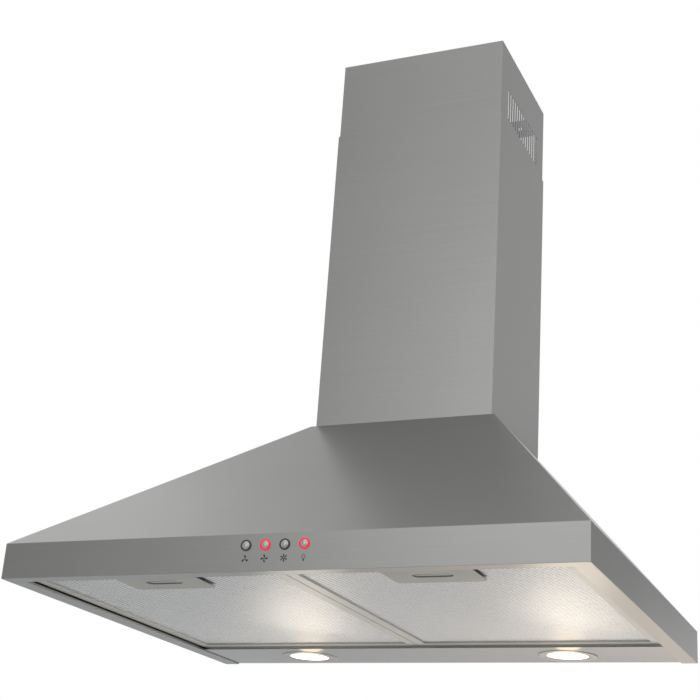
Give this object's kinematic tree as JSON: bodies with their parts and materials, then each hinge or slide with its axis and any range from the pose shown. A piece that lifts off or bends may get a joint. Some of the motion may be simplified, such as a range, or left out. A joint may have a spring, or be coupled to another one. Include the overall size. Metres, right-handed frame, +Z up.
{
  "type": "chimney range hood",
  "caption": "Wall-mounted chimney range hood: pyramid canopy, telescoping chimney, latched tilting grease filters, push buttons, lamps, centrifugal blower and non-return flaps.",
  "frame": {"origin": "centre of the canopy rim's lower edge, on the plane of the rim's lips", "axes": "+X to the right as seen from the front, +Y back towards the wall, +Z up"},
  "size_m": [0.6, 0.4922, 0.7435],
  "materials": {
    "brushed_stainless": "brushed along the width, satin",
    "galvanised_sheet": "galvanised, dull with faint spangle",
    "zinc_screws": "bright zinc plated",
    "filter_aluminium": "rolled, satin",
    "filter_mesh": "expanded foil mesh",
    "spring_steel": "drawn wire",
    "bezel_steel": "brushed, satin",
    "lens_glass": "sand-blasted glass, lit from behind",
    "reflector_aluminium": "polished",
    "bulb_glass": "frosted glass, lit",
    "button_steel": "turned and polished",
    "ring_lit": "clear red light guide, lit",
    "ring_unlit": "clear light guide, unlit",
    "switch_plastic": "moulded, fine grain",
    "board_laminate": "printed circuit board, green solder mask",
    "tact_plastic": "moulded",
    "fan_plastic": "moulded, satin",
    "impeller_plastic": "moulded, satin",
    "shaft_steel": "ground",
    "nut_brass": "turned",
    "motor_paint": "grey enamel over laminations and end bells",
    "grommet_rubber": "matt",
    "capacitor_plastic": "moulded, smooth",
    "collar_plastic": "moulded",
    "flap_plastic": "moulded",
    "box_plastic": "moulded"
  },
  "bodies": {
    "root": {"canopy_front": "brushed_stainless", "canopy_left": "brushed_stainless", "canopy_right": "brushed_stainless", "back_panel": "galvanised_sheet", "lamp_panel": "brushed_stainless", "filter_rail": "galvanised_sheet", "chimney_lower": "brushed_stainless", "switch_housing": "switch_plastic", "control_board": "board_laminate", "tact_switches": "tact_plastic", "light_ring_1": "ring_unlit", "light_ring_2": "ring_lit", "light_ring_3": "ring_unlit", "light_ring_4": "ring_lit", "blower_plate": "galvanised_sheet", "m4_screws": "zinc_screws", "scroll_left": "fan_plastic", "scroll_right": "fan_plastic", "motor_body": "motor_paint", "motor_bracket": "galvanised_sheet", "motor_grommets": "grommet_rubber", "capacitor": "capacitor_plastic", "capacitor_clip": "galvanised_sheet", "outlet_collar": "collar_plastic", "flap_pin": "shaft_steel", "junction_box": "box_plastic", "junction_lid": "box_plastic", "cable_gland": "grommet_rubber", "lamp_bezel_left": "bezel_steel", "lamp_lens_left": "lens_glass", "lamp_reflector_left": "reflector_aluminium", "lamp_bulb_left": "bulb_glass", "lamp_housing_left": "galvanised_sheet", "lamp_bezel_right": "bezel_steel", "lamp_lens_right": "lens_glass", "lamp_reflector_right": "reflector_aluminium", "lamp_bulb_right": "bulb_glass", "lamp_housing_right": "galvanised_sheet"},
    "chimney_upper": {"chimney_upper": "brushed_stainless", "ceiling_bracket": "galvanised_sheet", "bracket_screws": "zinc_screws"},
    "fan": {"impeller": "impeller_plastic", "fan_shaft": "shaft_steel", "shaft_nut": "nut_brass"},
    "flap_left": {"flap_left": "flap_plastic"},
    "flap_right": {"flap_right": "flap_plastic"},
    "filter_left": {"filter_frame_left": "filter_aluminium", "filter_mesh_left": "filter_mesh", "filter_handle_left": "filter_aluminium", "latch_spring_left": "spring_steel"},
    "latch_left": {"filter_latch_left": "filter_aluminium"},
    "filter_right": {"filter_frame_right": "filter_aluminium", "filter_mesh_right": "filter_mesh", "filter_handle_right": "filter_aluminium", "latch_spring_right": "spring_steel"},
    "latch_right": {"filter_latch_right": "filter_aluminium"},
    "button_1": {"button_1": "button_steel"},
    "button_2": {"button_2": "button_steel"},
    "button_3": {"button_3": "button_steel"},
    "button_4": {"button_4": "button_steel"}
  },
  "joints": [
    {"name": "chimney_slide", "type": "slide", "parent": "root", "child": "chimney_upper", "axis": [0, 0, 1], "range_m": [-0.1, 0.23]},
    {"name": "fan_spin", "type": "hinge", "parent": "root", "child": "fan", "pos_m": [0, 0.083, 0.14], "axis": [1, 0, 0], "continuous": true},
    {"name": "flap_left_swing", "type": "hinge", "parent": "root", "child": "flap_left", "pos_m": [0, 0.151, 0.262], "axis": [0, 1, 0], "range_deg": [0, 80]},
    {"name": "flap_right_swing", "type": "hinge", "parent": "root", "child": "flap_right", "pos_m": [0, 0.151, 0.262], "axis": [0, -1, 0], "range_deg": [0, 80]},
    {"name": "filter_left_swing", "type": "hinge", "parent": "root", "child": "filter_left", "pos_m": [0, 0.148, 0.0039], "axis": [1, 0, 0], "range_deg": [0, 35]},
    {"name": "filter_right_swing", "type": "hinge", "parent": "root", "child": "filter_right", "pos_m": [0, 0.148, 0.0039], "axis": [1, 0, 0], "range_deg": [0, 35]},
    {"name": "latch_left_slide", "type": "slide", "parent": "filter_left", "child": "latch_left", "axis": [0, 1, 0], "range_m": [0, 0.007], "stiffness_N_per_m": 300, "springref_m": -0.005, "deforming": ["latch_spring_left"]},
    {"name": "latch_right_slide", "type": "slide", "parent": "filter_right", "child": "latch_right", "axis": [0, 1, 0], "range_m": [0, 0.007], "stiffness_N_per_m": 300, "springref_m": -0.005, "deforming": ["latch_spring_right"]},
    {"name": "button_1_push", "type": "slide", "parent": "root", "child": "button_1", "axis": [0, 1, 0], "range_m": [0, 0.0015], "stiffness_N_per_m": 600, "springref_m": -0.0015},
    {"name": "button_2_push", "type": "slide", "parent": "root", "child": "button_2", "axis": [0, 1, 0], "range_m": [0, 0.0015], "stiffness_N_per_m": 600, "springref_m": -0.0015},
    {"name": "button_3_push", "type": "slide", "parent": "root", "child": "button_3", "axis": [0, 1, 0], "range_m": [0, 0.0015], "stiffness_N_per_m": 600, "springref_m": -0.0015},
    {"name": "button_4_push", "type": "slide", "parent": "root", "child": "button_4", "axis": [0, 1, 0], "range_m": [0, 0.0015], "stiffness_N_per_m": 600, "springref_m": -0.0015}
  ]
}
